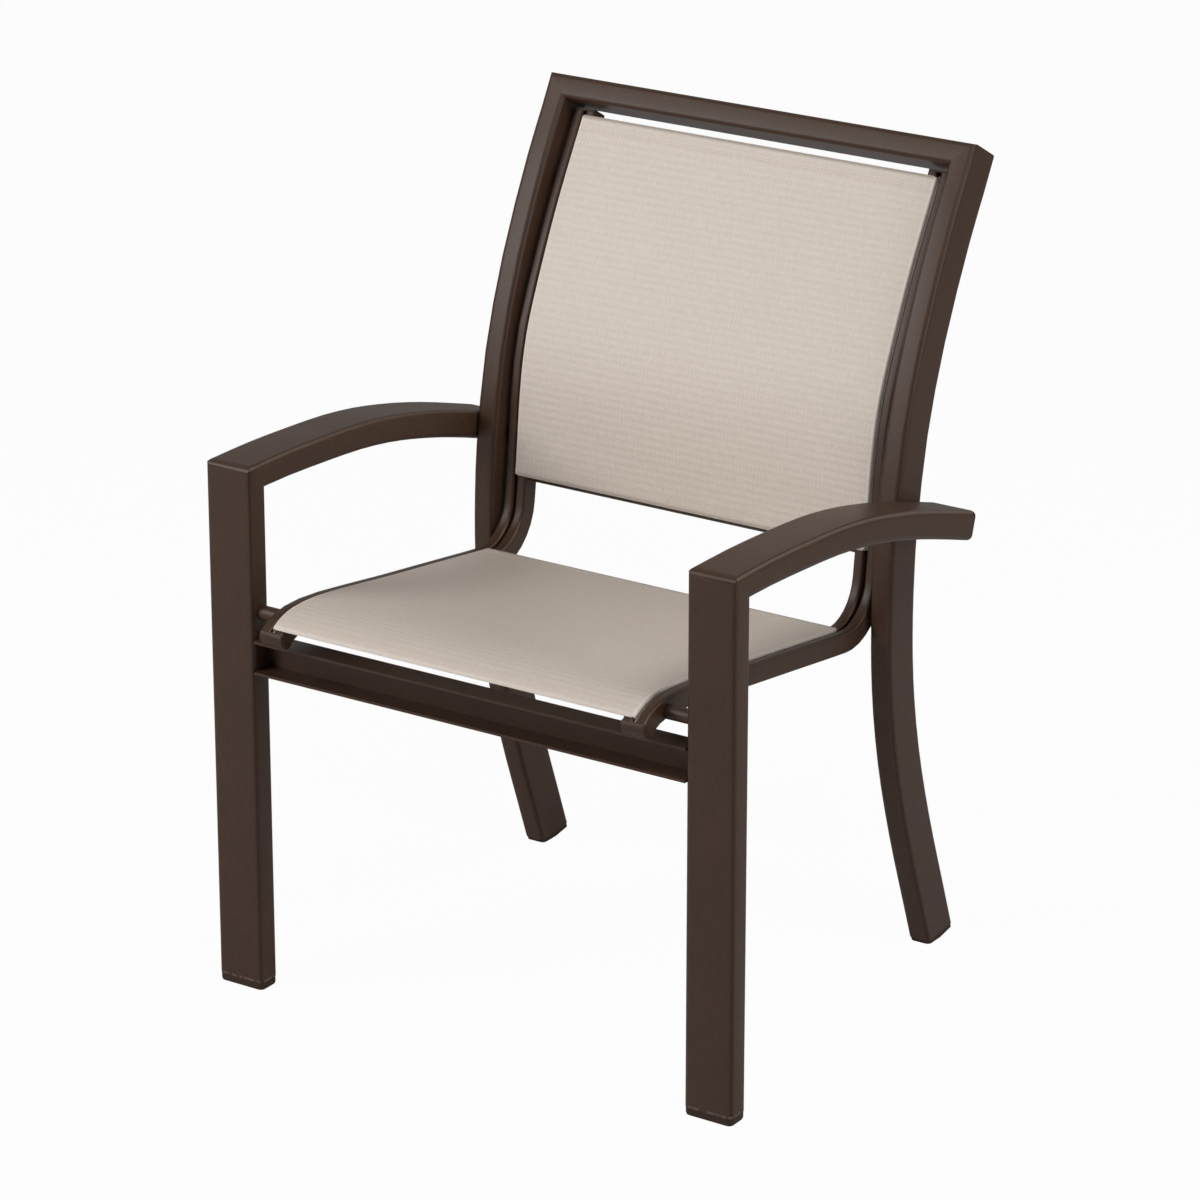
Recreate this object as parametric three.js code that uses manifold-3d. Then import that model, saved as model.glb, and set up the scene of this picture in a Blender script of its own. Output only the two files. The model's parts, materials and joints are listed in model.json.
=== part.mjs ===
// Sling patio chair: a welded tube frame carrying two curved sling rails,
// with one sheet of woven sling stretched across the back and one across the seat.
// Millimetres, +Z up, +Y to the rear, +X to the right as the chair is seen from the front.
// Heights are above the floor and setbacks are measured back from the front face of the front legs.

import * as THREE from 'three';
import { mergeVertices } from 'three/addons/utils/BufferGeometryUtils.js';
import Module from 'manifold-3d';

const wasm = await Module();
wasm.setup();

// Overall sizes

const overallWidth = 650;
const armHeight = 592.5;
const seatHeight = 446;
const backHeight = 880.5;

// Front legs and arms, one tube section

const frontTubeWidth = 57.6;
const frontTubeDepth = 28.5;
const frontTubeRound = 6;
const cornerRound = 9;
const armRearDepth = 32;
const armTail = 23;
const armFall = 70.5;

// Rear uprights and top rail, one tube section

const uprightWidth = 26;
const uprightDepth = 51;
const uprightRound = 5.5;
const uprightSetback = 425.6;
const kneeHeight = 400;
const footReach = 101;
const topReach = 152;

// Tube walls and fits

const frontTubeWall = 3;
const uprightWall = 2;
const fitGap = 0.3;
const cutOverrun = 1500;
const pathOverrun = 12;

// Front stretcher, a channel open to the front

const stretcherHeight = 37.6;
const stretcherDepth = 28;
const stretcherWall = 3;
const stretcherRound = 1.2;
const stretcherDrop = 43.4;

// Sling rails

const railWidth = 28;
const railDepth = 22.5;
const railFrontRound = 3.4;
const railBackRound = 2;
const railWall = 1.8;
const railSideGap = 4;
const grooveMouth = 3.2;
const grooveLip = 3.2;
const grooveRadius = 3.6;
const noseOverhang = 27;
const seatFall = 43.4;
const bendRadius = 46;
const seatTilt = THREE.MathUtils.degToRad(8);
const backTilt = THREE.MathUtils.degToRad(6);
const railLowInset = 16;
const railTopInset = 21;
const railTopGap = 6.9;

// Sling sheets and their spline rods

const slingThickness = 1.2;
const slingLift = 1;
const slingTailShift = 0.7;
const seatSlingFrontInset = 0.3;
const seatSlingBackReach = 2;
const backSlingLift = 28.8;
const backSlingTopInset = 1.7;
const splineInset = 2;

// Spreader bars between the rails

const barRadius = 9.5;
const barWall = 1.5;
const backBarLift = 33.3;
const seatBarSetback = 190;

// Bolts, stubs, spacers and threaded inserts

const boltRadius = 2.5;
const boltHeadRadius = 4.6;
const boltHeadHeight = 2.8;
const boltThread = 9;
const insertRadius = 4.6;
const insertLength = 7;
const spacerRadius = 9;
const stubRadius = 7.8;
const stubWall = 1.6;
const stubRise = 1.3;
const lowBoltLift = 70;
const highBoltInset = 77.3;

// End caps and glides

const armCapThickness = 8;
const armCapRound = 5.5;
const railCapThickness = 2.4;
const railNoseRound = 1.6;
const railNoseReach = 7.5;
const plugLength = 14;
const railPlugLength = 9;
const frontGlideHeight = 9.5;
const frontGlideInset = 0.4;
const frontGlideRound = 3;
const rearGlideHeight = 4.5;
const rearGlideInset = 0.9;
const rearFootRise = 0.09;
const rearHeelRise = 0.16;
const rearSoleLength = 24;
const glidePlug = 18;

// Shapes of the curved lines: each row is a share of the run, then a share of the rise or fall

const armShares = [[0, 0], [0.15, 0.004], [0.3, 0.048], [0.43, 0.106], [0.54, 0.2], [0.64, 0.328],
  [0.75, 0.503], [0.86, 0.71], [1, 1]];
const footShares = [[1, 1], [0.85, 0.78], [0.7, 0.558], [0.55, 0.357], [0.4, 0.191], [0.25, 0.074],
  [0.12, 0.017]];
const topShares = [[0, 0], [0.1, 0.007], [0.21, 0.033], [0.42, 0.152], [0.62, 0.368], [0.83, 0.69],
  [0.93, 0.876], [1, 1]];
const seatShares = [[0, 0.36], [0.025, 0.2], [0.057, 0.085], [0.1, 0.018], [0.165, 0.008], [0.25, 0.073],
  [0.36, 0.208], [0.54, 0.445], [0.725, 0.668], [0.916, 0.902], [1, 1]];
const backShares = [[0.076, 0.028], [0.163, 0.056], [0.268, 0.088], [0.377, 0.137], [0.474, 0.214],
  [0.571, 0.332], [0.668, 0.464], [0.765, 0.606], [0.862, 0.764], [1, 1]];

// Counts of flats and steps

const cornerSteps = 3;
const boreSteps = 1;
const halfRoundSteps = 10;
const barSides = 24;
const boltSides = 12;
const rodSides = 8;
const bendSpans = 8;
const frameSpanSteps = 2;

// Finishes, one material per sub-part

const finishes = {
  frame: { color: 0x4a3c33, roughness: 0.45, metalness: 0.35 },
  cap: { color: 0x463930, roughness: 0.55, metalness: 0 },
  sling: { color: 0xc9bdb0, roughness: 0.9, metalness: 0 },
  plastic: { color: 0x2b2320, roughness: 0.7, metalness: 0 },
  spline: { color: 0xd8d2c8, roughness: 0.6, metalness: 0 },
  steel: { color: 0xa9a9ab, roughness: 0.35, metalness: 0.9 },
};

// Side view helpers: a path lies in a plane of constant x, as stations with a point and a direction

const sideways = new THREE.Vector3(-1, 0, 0);

function sidePoint(y, z) {
  return new THREE.Vector3(0, y, z);
}

function faceNormal(direction) {
  return new THREE.Vector3(0, -direction.z, direction.y);
}

function stationsThrough(points, spanSteps) {
  const curve = new THREE.CatmullRomCurve3(points, false, 'centripetal');
  const count = (points.length - 1) * spanSteps;
  return Array.from({ length: count + 1 }, (_, i) => ({
    point: curve.getPoint(i / count),
    direction: curve.getTangent(i / count),
  }));
}

function between(a, b, share) {
  return {
    point: a.point.clone().lerp(b.point, share),
    direction: a.direction.clone().lerp(b.direction, share).normalize(),
  };
}

function lengthsAlong(stations) {
  const lengths = [0];
  for (let i = 1; i < stations.length; i += 1) {
    lengths.push(lengths[i - 1] + stations[i].point.distanceTo(stations[i - 1].point));
  }
  return lengths;
}

function stationAt(stations, length) {
  const lengths = lengthsAlong(stations);
  const last = stations.length - 1;
  let i = 1;
  while (i < last && lengths[i] < length) i += 1;
  return between(stations[i - 1], stations[i], (length - lengths[i - 1]) / (lengths[i] - lengths[i - 1]));
}

function slice(stations, from, to) {
  const lengths = lengthsAlong(stations);
  const inside = stations.filter((_, i) => lengths[i] > from && lengths[i] < to);
  return [stationAt(stations, from), ...inside, stationAt(stations, to)];
}

// The station's local frame: x sideways, y out of the face, z along the path
function stationFrame({ point, direction }, x) {
  const frame = new THREE.Matrix4().makeBasis(sideways, faceNormal(direction), direction);
  return frame.setPosition(x, point.y, point.z);
}

// A path that ExtrudeGeometry follows station by station, without twist
class StationPath extends THREE.Curve {
  constructor(stations) {
    super();
    this.stations = stations;
  }

  stationNear(t) {
    return this.stations[Math.round(t * (this.stations.length - 1))];
  }

  getPoint(t) {
    return this.stationNear(t).point.clone();
  }

  getSpacedPoints() {
    return this.stations.map((station) => station.point.clone());
  }

  computeFrenetFrames() {
    return {
      tangents: this.stations.map((station) => station.direction),
      normals: this.stations.map(() => sideways),
      binormals: this.stations.map(({ direction, swell = 1 }) => (
        faceNormal(direction).multiplyScalar(swell)
      )),
    };
  }
}

function sweep(section, stations) {
  return new THREE.ExtrudeGeometry(section, {
    steps: stations.length - 1,
    extrudePath: new StationPath(stations),
  });
}

// Sections

function arcPoints(x, y, radius, from, to, steps) {
  return Array.from({ length: steps + 1 }, (_, i) => {
    const angle = from + ((to - from) * i) / steps;
    return new THREE.Vector2(x + radius * Math.cos(angle), y + radius * Math.sin(angle));
  });
}

function roundedRect(width, height, radius, steps = cornerSteps) {
  const x = width / 2 - radius;
  const y = height / 2 - radius;
  return [[x, y], [-x, y], [-x, -y], [x, -y]].flatMap(([cornerX, cornerY], i) => (
    arcPoints(cornerX, cornerY, radius, (Math.PI / 2) * i, (Math.PI / 2) * (i + 1), steps)
  ));
}

function tubeSection({ width, depth, round, wall }) {
  const section = new THREE.Shape(roundedRect(width, depth, round));
  const bore = roundedRect(width - 2 * wall, depth - 2 * wall, round - wall, boreSteps);
  section.holes.push(new THREE.Path(bore));
  return section;
}

function plugSection({ width, depth, round, wall }) {
  const allowance = 2 * (wall + fitGap);
  return new THREE.Shape(roundedRect(width - allowance, depth - allowance, round - wall, boreSteps));
}

function grownSection({ width, depth, round }, growth) {
  return new THREE.Shape(roundedRect(width + 2 * growth, depth + 2 * growth, round + growth));
}

function circlePoints(radius, sides) {
  return arcPoints(0, 0, radius, 0, Math.PI * 2, sides).slice(0, sides);
}

function ringShape(outerRadius, innerRadius, sides) {
  const ring = new THREE.Shape(circlePoints(outerRadius, sides));
  ring.holes.push(new THREE.Path(circlePoints(innerRadius, sides)));
  return ring;
}

// Solids for cutting and joining

function toSolid(geometry) {
  const bare = geometry.clone();
  bare.deleteAttribute('normal');
  bare.deleteAttribute('uv');
  const merged = mergeVertices(bare);
  return new wasm.Manifold(new wasm.Mesh({
    numProp: 3,
    vertProperties: Float32Array.from(merged.attributes.position.array),
    triVerts: Uint32Array.from(merged.index.array),
  }));
}

function toGeometry(solid) {
  const { vertProperties, triVerts } = solid.getMesh();
  const geometry = new THREE.BufferGeometry();
  geometry.setAttribute('position', new THREE.BufferAttribute(vertProperties, 3));
  geometry.setIndex(new THREE.BufferAttribute(triVerts, 1));
  geometry.computeVertexNormals();
  return geometry;
}

function mirrored(geometry) {
  const copy = geometry.clone().scale(-1, 1, 1);
  const index = copy.index.array;
  for (let i = 0; i < index.length; i += 3) {
    [index[i], index[i + 1]] = [index[i + 1], index[i]];
  }
  copy.computeVertexNormals();
  return copy;
}

// Everything on the outward side of a plane through a point
function halfSpace(point, outward) {
  const block = new THREE.BoxGeometry(cutOverrun, cutOverrun, cutOverrun);
  const turn = new THREE.Quaternion().setFromUnitVectors(new THREE.Vector3(1, 0, 0), outward);
  const centre = point.clone().addScaledVector(outward, cutOverrun / 2);
  return toSolid(block.applyQuaternion(turn).translate(centre.x, centre.y, centre.z));
}

// A bar of a given section lying along x, between two x places, centred on a point of the side view
function alongX(section, x0, x1, point) {
  const bar = new THREE.ExtrudeGeometry(section, { depth: x1 - x0, bevelEnabled: false });
  const frame = new THREE.Matrix4().makeBasis(
    new THREE.Vector3(0, 1, 0),
    new THREE.Vector3(0, 0, 1),
    new THREE.Vector3(1, 0, 0),
  );
  return bar.applyMatrix4(frame.setPosition(x0, point.y, point.z));
}

function roundBar(radius, sides, x0, x1, point) {
  return alongX(new THREE.Shape(circlePoints(radius, sides)), x0, x1, point);
}

function roundTube(radius, bore, sides, x0, x1, point) {
  return alongX(ringShape(radius, bore, sides), x0, x1, point);
}

// The two tube sections

const frontTube = {
  width: frontTubeWidth, depth: frontTubeDepth, round: frontTubeRound, wall: frontTubeWall,
};
const uprightBar = {
  width: uprightWidth, depth: uprightDepth, round: uprightRound, wall: uprightWall,
};

// Places across the width, on the right side

const legInnerX = overallWidth / 2 - frontTubeWidth;
const legX = overallWidth / 2 - frontTubeWidth / 2;
const uprightX = legInnerX - fitGap - uprightWidth / 2;
const uprightInnerX = uprightX - uprightWidth / 2;
const railX = uprightInnerX - railSideGap - railWidth / 2;
const railInnerX = railX - railWidth / 2;
const railOuterX = railX + railWidth / 2;

// Centre line of the upright, from below the floor to past the top corner

function uprightStations() {
  const lower = footShares.map(([down, back]) => sidePoint(
    uprightSetback + footReach * back,
    kneeHeight * (1 - down),
  ));
  const upper = topShares.map(([up, back]) => sidePoint(
    uprightSetback + topReach * back,
    kneeHeight + (backHeight - kneeHeight) * up,
  ));
  return stationsThrough([...lower, ...upper], frameSpanSteps);
}

function extended(stations, before, after) {
  const first = stations[0];
  const last = stations.at(-1);
  const start = { ...first, point: first.point.clone().addScaledVector(first.direction, -before) };
  const end = { ...last, point: last.point.clone().addScaledVector(last.direction, after) };
  return [start, ...stations, end];
}

const uprightLine = uprightStations();
const topCorner = uprightLine.at(-1);

// Face line of the sling rail: seat, bend, then back

function railStations() {
  const bendEnd = sidePoint(uprightSetback - uprightDepth / 2 + railLowInset, 0);
  const bendBottom = seatHeight - seatFall;
  const bendStart = sidePoint(bendEnd.y - bendRadius * (Math.cos(backTilt) + Math.sin(seatTilt)), bendBottom);
  const bendCentre = sidePoint(
    bendStart.y + bendRadius * Math.sin(seatTilt),
    bendBottom + bendRadius * Math.cos(seatTilt),
  );
  const sweepAngle = Math.PI / 2 - backTilt + seatTilt;
  const bend = Array.from({ length: bendSpans }, (_, i) => {
    const angle = (sweepAngle * (i + 1)) / bendSpans - seatTilt;
    return sidePoint(
      bendCentre.y + bendRadius * Math.sin(angle),
      bendCentre.z - bendRadius * Math.cos(angle),
    );
  });
  const seatRun = bendStart.y + noseOverhang;
  const seat = seatShares.map(([run, fall]) => sidePoint(
    seatRun * run - noseOverhang,
    seatHeight - seatFall * fall,
  ));
  const foot = bend.at(-1);
  const normal = faceNormal(topCorner.direction);
  const top = topCorner.point.clone()
    .addScaledVector(topCorner.direction, -uprightWidth - railTopGap)
    .addScaledVector(normal, uprightDepth / 2 - railTopInset);
  const back = backShares.map(([rise, reach]) => sidePoint(
    foot.y + (top.y - foot.y) * reach,
    foot.z + (top.z - foot.z) * rise,
  ));
  return stationsThrough([...seat, ...bend, ...back], 1);
}

const railLine = railStations();
const railLengths = lengthsAlong(railLine);
const railLength = railLengths.at(-1);
const seatEnd = railLengths[seatShares.length - 1];
const backStart = railLengths[seatShares.length - 1 + bendSpans];

// Depths behind the rail's face

const grooveDepth = grooveLip + grooveRadius;
const chamberFront = grooveDepth + grooveRadius + railWall;
const chamberBack = railDepth - railWall;
const boltDepth = (chamberFront + chamberBack) / 2;

function railStationAtSetback(setback) {
  let i = 1;
  while (railLine[i].point.y < setback) i += 1;
  const a = railLine[i - 1];
  const b = railLine[i];
  return between(a, b, (setback - a.point.y) / (b.point.y - a.point.y));
}

function behindFace(station, depth) {
  return station.point.clone().addScaledVector(faceNormal(station.direction), -depth);
}

// Bolt places in the side view

const stubPlace = behindFace(railStationAtSetback(frontTubeDepth / 2), boltDepth - stubRise);
const backBoltPlaces = [backStart + lowBoltLift, railLength - highBoltInset]
  .map((length) => behindFace(stationAt(railLine, length), boltDepth));

function boltHoles(places, x0, x1) {
  const holes = places.map((place) => toSolid(roundBar(boltRadius + fitGap, rodSides, x0, x1, place)));
  return holes.reduce((all, hole) => all.add(hole));
}

// Front leg and arm, mitred together under a rounded corner

function cornerCutter() {
  const size = cutOverrun / 2;
  const block = new THREE.BoxGeometry(cutOverrun, cutOverrun, cutOverrun);
  block.translate(0, cornerRound - size, armHeight - cornerRound + size);
  const centre = sidePoint(cornerRound, armHeight - cornerRound);
  const round = roundBar(cornerRound, barSides, -cutOverrun, cutOverrun, centre);
  return toSolid(block).subtract(toSolid(round));
}

function mitrePlane(side) {
  const outward = new THREE.Vector3(0, side, side).normalize();
  const corner = sidePoint(0, armHeight).addScaledVector(outward, -fitGap / 2);
  return halfSpace(corner, outward);
}

function frontLeg() {
  const tube = new THREE.ExtrudeGeometry(tubeSection(frontTube), {
    depth: armHeight - frontGlideHeight, bevelEnabled: false,
  });
  tube.translate(legX, frontTubeDepth / 2, frontGlideHeight);
  const holes = boltHoles([stubPlace], legInnerX - frontTubeWall, legInnerX + 2 * frontTubeWall);
  return toGeometry(toSolid(tube).subtract(mitrePlane(1)).subtract(cornerCutter()).subtract(holes));
}

function armStations() {
  const run = uprightSetback + uprightDepth / 2 + armTail - armCapThickness;
  const points = armShares.map(([back, fall]) => sidePoint(
    run * back,
    armHeight - frontTubeDepth / 2 - armFall * fall,
  ));
  const stations = stationsThrough(points, frameSpanSteps);
  const growth = armRearDepth / frontTubeDepth - 1;
  return stations.map((station) => ({ ...station, swell: 1 + (growth * station.point.y) / run }));
}

const armLine = armStations();

function arm() {
  const tube = sweep(tubeSection(frontTube), extended(armLine, pathOverrun, 0)).translate(legX, 0, 0);
  return toGeometry(toSolid(tube).subtract(mitrePlane(-1)).subtract(cornerCutter()));
}

function armCap() {
  const outer = new THREE.Shape(roundedRect(frontTubeWidth, armRearDepth, frontTubeRound));
  const cap = new THREE.ExtrudeGeometry(outer, {
    depth: armCapThickness - fitGap - armCapRound,
    bevelThickness: armCapRound,
    bevelSize: armCapRound,
    bevelOffset: -armCapRound,
    bevelSegments: cornerSteps,
  });
  cap.translate(0, 0, fitGap);
  const flat = toSolid(cap).subtract(halfSpace(new THREE.Vector3(0, 0, fitGap), new THREE.Vector3(0, 0, -1)));
  const plug = new THREE.ExtrudeGeometry(plugSection(frontTube), {
    depth: plugLength + armCapThickness / 2, bevelEnabled: false,
  });
  plug.translate(0, 0, -plugLength);
  const solid = flat.add(toSolid(plug));
  return toGeometry(solid).applyMatrix4(stationFrame(armLine.at(-1), legX));
}

// Rear upright, cut at its foot and mitred to the top rail

function topMitre(side, gapSide) {
  const outward = new THREE.Vector3(side, 0, 0).sub(topCorner.direction).normalize();
  const centre = topCorner.point.clone().addScaledVector(topCorner.direction, -uprightWidth / 2);
  centre.x = side * uprightX;
  centre.addScaledVector(outward, gapSide * (fitGap / 2));
  return { centre, outward };
}

// The foot ends of the uprights rise a little toward the rear
function footFront(height) {
  return sidePoint(uprightSetback + footReach - uprightDepth / 2, height);
}

function risingPlane(rise) {
  return new THREE.Vector3(0, rise, -1).normalize();
}

function uprightTube(section) {
  return sweep(section, extended(uprightLine, 2 * pathOverrun, pathOverrun)).translate(uprightX, 0, 0);
}

function upright() {
  const tube = uprightTube(tubeSection(uprightBar));
  const { centre, outward } = topMitre(1, 1);
  const below = halfSpace(footFront(rearGlideHeight), risingPlane(rearFootRise));
  const above = halfSpace(topCorner.point, topCorner.direction);
  const holes = boltHoles(backBoltPlaces, uprightInnerX - uprightWall, uprightInnerX + 2 * uprightWall);
  return toGeometry(toSolid(tube)
    .subtract(below)
    .subtract(above)
    .subtract(halfSpace(centre, outward.clone().negate()))
    .subtract(holes));
}

function topRail() {
  const length = 2 * (uprightX + uprightWidth / 2);
  const tube = new THREE.ExtrudeGeometry(tubeSection(uprightBar), { depth: length, bevelEnabled: false });
  const frame = new THREE.Matrix4().makeBasis(
    topCorner.direction,
    faceNormal(topCorner.direction),
    new THREE.Vector3(1, 0, 0),
  );
  const centre = topCorner.point.clone().addScaledVector(topCorner.direction, -uprightWidth / 2);
  tube.applyMatrix4(frame.setPosition(-length / 2, centre.y, centre.z));
  const right = topMitre(1, -1);
  const left = topMitre(-1, -1);
  return toGeometry(toSolid(tube)
    .subtract(halfSpace(right.centre, right.outward))
    .subtract(halfSpace(left.centre, left.outward)));
}

// Front stretcher between the legs, its web coped round the legs' rear corners

function stretcherCope() {
  const size = cutOverrun / 2;
  const leg = new THREE.ExtrudeGeometry(grownSection(frontTube, fitGap), {
    depth: cutOverrun, bevelEnabled: false,
  });
  leg.translate(legX, frontTubeDepth / 2, 0);
  const front = new THREE.BoxGeometry(cutOverrun, cutOverrun, cutOverrun);
  front.translate(legInnerX - fitGap + size, frontTubeDepth / 2 - size, size);
  return toGeometry(toSolid(leg).add(toSolid(front)));
}

function frontStretcher() {
  const height = stretcherHeight;
  const inner = stretcherDepth - stretcherWall;
  const round = stretcherRound;
  const open = [[0, height], [0, height - stretcherWall], [inner, height - stretcherWall],
    [inner, stretcherWall], [0, stretcherWall], [0, 0]].map(([y, z]) => new THREE.Vector2(y, z));
  const outline = new THREE.Shape([
    ...open,
    ...arcPoints(stretcherDepth - round, round, round, -Math.PI / 2, 0, cornerSteps),
    ...arcPoints(stretcherDepth - round, height - round, round, 0, Math.PI / 2, cornerSteps),
  ]);
  const half = legInnerX + frontTubeRound;
  const channel = alongX(outline, -half, half, sidePoint(0, seatHeight - stretcherDrop - height));
  const cope = stretcherCope();
  return toGeometry(toSolid(channel).subtract(toSolid(cope)).subtract(toSolid(mirrored(cope))));
}

// Sling rail: a groove for the spline along its face and a hollow chamber behind

function railSection() {
  const half = railWidth / 2;
  const mouth = grooveMouth / 2;
  const front = railFrontRound;
  const back = railBackRound;
  const lip = grooveLip;
  const opening = Math.asin(mouth / grooveRadius);
  const quarter = Math.PI / 2;
  const section = new THREE.Shape([
    ...arcPoints(half - front, -front, front, 0, quarter, cornerSteps),
    ...arcPoints(mouth + lip, -lip, lip, quarter, 2 * quarter, cornerSteps),
    ...arcPoints(0, -grooveDepth, grooveRadius, quarter - opening, opening - 3 * quarter, rodSides),
    ...arcPoints(-mouth - lip, -lip, lip, 0, quarter, cornerSteps),
    ...arcPoints(front - half, -front, front, quarter, 2 * quarter, cornerSteps),
    ...arcPoints(back - half, back - railDepth, back, 2 * quarter, 3 * quarter, cornerSteps),
    ...arcPoints(half - back, back - railDepth, back, 3 * quarter, 4 * quarter, cornerSteps),
  ]);
  const side = half - railWall;
  section.holes.push(new THREE.Path([
    [-side, -chamberBack], [side, -chamberBack], [side, -chamberFront], [-side, -chamberFront],
  ].map(([x, y]) => new THREE.Vector2(x, y))));
  return section;
}

function slingRail() {
  const rail = sweep(railSection(), railLine).translate(railX, 0, 0);
  const holes = boltHoles([stubPlace, ...backBoltPlaces], railX - railWidth, railX + railWidth);
  return toGeometry(toSolid(rail).subtract(holes));
}

function railPlug(from, to) {
  const plug = new THREE.BoxGeometry(
    railWidth - 2 * (railWall + fitGap),
    chamberBack - chamberFront - 2 * fitGap,
    to - from,
  );
  return toSolid(plug.translate(0, -boltDepth, (from + to) / 2));
}

// Bull-nosed cap on the front end of a rail, a flattened half round
function railNose() {
  const radius = railDepth / 2 - railNoseRound;
  const flattening = (railNoseReach - railNoseRound) / radius;
  const halfRound = arcPoints(0, 0, radius, Math.PI / 2, Math.PI * 1.5, halfRoundSteps);
  const outline = new THREE.Shape([
    ...halfRound.map(({ x, y }) => new THREE.Vector2(x * flattening, y)),
    new THREE.Vector2(railDepth, -radius),
    new THREE.Vector2(railDepth, radius),
  ]);
  const nose = new THREE.ExtrudeGeometry(outline, {
    depth: railWidth - 2 * railNoseRound,
    bevelThickness: railNoseRound,
    bevelSize: railNoseRound,
    bevelSegments: 2,
  });
  nose.translate(0, 0, railNoseRound - railWidth / 2);
  nose.applyMatrix4(new THREE.Matrix4().makeBasis(
    new THREE.Vector3(0, 0, 1),
    new THREE.Vector3(0, 1, 0),
    sideways,
  ));
  nose.translate(0, -railDepth / 2, -fitGap);
  const end = halfSpace(new THREE.Vector3(0, 0, -fitGap), new THREE.Vector3(0, 0, 1));
  const solid = toSolid(nose).subtract(end).add(railPlug(-railCapThickness, railPlugLength));
  return toGeometry(solid).applyMatrix4(stationFrame(railLine[0], railX));
}

// Flat cap on the top end of a rail
function railTopCap() {
  const outline = new THREE.Shape(roundedRect(railWidth, railDepth, railFrontRound));
  const plate = new THREE.ExtrudeGeometry(outline, { depth: railCapThickness, bevelEnabled: false });
  plate.translate(0, -railDepth / 2, fitGap);
  const solid = toSolid(plate).add(railPlug(-railPlugLength, railCapThickness));
  return toGeometry(solid).applyMatrix4(stationFrame(railLine.at(-1), railX));
}

// Sling sheet: flat between the rails, its edges turned down into the grooves

function slingSection() {
  const outer = railX - slingTailShift + slingThickness / 2;
  const inner = outer - slingThickness;
  const top = slingLift + slingThickness;
  const tail = -(grooveDepth - splineRadius() - fitGap);
  return new THREE.Shape([
    [-outer, tail], [-inner, tail], [-inner, slingLift], [inner, slingLift],
    [inner, tail], [outer, tail], [outer, top], [-outer, top],
  ].map(([x, y]) => new THREE.Vector2(x, y)));
}

function splineRadius() {
  return grooveRadius - fitGap;
}

function seatSling() {
  return sweep(slingSection(), slice(railLine, seatSlingFrontInset, seatEnd + seatSlingBackReach));
}

function backSling() {
  return sweep(slingSection(), slice(railLine, backStart + backSlingLift, railLength - backSlingTopInset));
}

function splineRod(from, to) {
  const section = new THREE.Shape(circlePoints(splineRadius(), rodSides));
  const deep = slice(railLine, from + splineInset, to - splineInset).map((station) => ({
    direction: station.direction,
    point: behindFace(station, grooveDepth),
  }));
  return sweep(section, deep).translate(railX, 0, 0);
}

// Spreader bars, one behind the foot of the back sling and one under the seat

function spreaderBar(station) {
  const half = railInnerX - fitGap;
  const place = behindFace(station, railDepth / 2);
  return roundTube(barRadius, barRadius - barWall, barSides, -half, half, place);
}

// Stub tube that carries the front of a rail off the front leg
function frontStub() {
  const ends = [railOuterX + fitGap, legInnerX - fitGap];
  return roundTube(stubRadius, stubRadius - stubWall, barSides, ...ends, stubPlace);
}

// Fasteners

function join(geometries) {
  return toGeometry(geometries.map(toSolid).reduce((all, solid) => all.add(solid)));
}

function bolt(place, endX) {
  const seat = railInnerX - fitGap;
  const head = roundBar(boltHeadRadius, boltSides, seat - boltHeadHeight, seat, place);
  const shank = roundBar(boltRadius, rodSides, seat - boltHeadHeight / 2, endX, place);
  return join([head, shank]);
}

function insert(place, wallInnerX) {
  const start = wallInnerX + fitGap;
  return roundTube(insertRadius, boltRadius + fitGap, rodSides, start, start + insertLength, place);
}

function spacer(place) {
  const ends = [railOuterX + fitGap, uprightInnerX - fitGap];
  return roundTube(spacerRadius, boltRadius + fitGap, boltSides, ...ends, place);
}

// Floor glides, each a foot pad with a plug up into its tube

function frontGlide() {
  const pad = new THREE.ExtrudeGeometry(grownSection(frontTube, -frontGlideInset), {
    depth: frontGlideHeight - fitGap - frontGlideRound,
    bevelThickness: frontGlideRound,
    bevelSize: frontGlideRound,
    bevelOffset: -frontGlideRound,
    bevelSegments: 2,
  });
  pad.translate(0, 0, frontGlideRound);
  const level = halfSpace(new THREE.Vector3(0, 0, frontGlideHeight - fitGap), new THREE.Vector3(0, 0, 1));
  const plug = new THREE.ExtrudeGeometry(plugSection(frontTube), {
    depth: glidePlug + frontGlideHeight / 2, bevelEnabled: false,
  });
  plug.translate(0, 0, frontGlideHeight / 2);
  const solid = toSolid(pad).subtract(level).add(toSolid(plug));
  return toGeometry(solid).translate(legX, frontTubeDepth / 2, 0);
}

function rearGlide() {
  const down = new THREE.Vector3(0, 0, -1);
  const up = risingPlane(rearFootRise).negate();
  const heel = sidePoint(footFront(0).y + rearSoleLength, 0);
  const pad = toSolid(uprightTube(grownSection(uprightBar, -rearGlideInset)))
    .subtract(halfSpace(sidePoint(0, 0), down))
    .subtract(halfSpace(heel, risingPlane(rearHeelRise)))
    .subtract(halfSpace(footFront(rearGlideHeight - fitGap), up));
  const plug = toSolid(uprightTube(plugSection(uprightBar)))
    .subtract(halfSpace(footFront(rearGlideHeight / 2), down))
    .subtract(halfSpace(footFront(rearGlideHeight + glidePlug), up));
  return toGeometry(pad.add(plug));
}

// Assembly

const chair = new THREE.Group();

function add(name, finish, geometry) {
  const mesh = new THREE.Mesh(geometry, new THREE.MeshStandardMaterial(finishes[finish]));
  mesh.name = name;
  chair.add(mesh);
}

function addPair(name, finish, geometry) {
  const solid = toGeometry(toSolid(geometry));
  add(`${name}_right`, finish, solid);
  add(`${name}_left`, finish, mirrored(solid));
}

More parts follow.
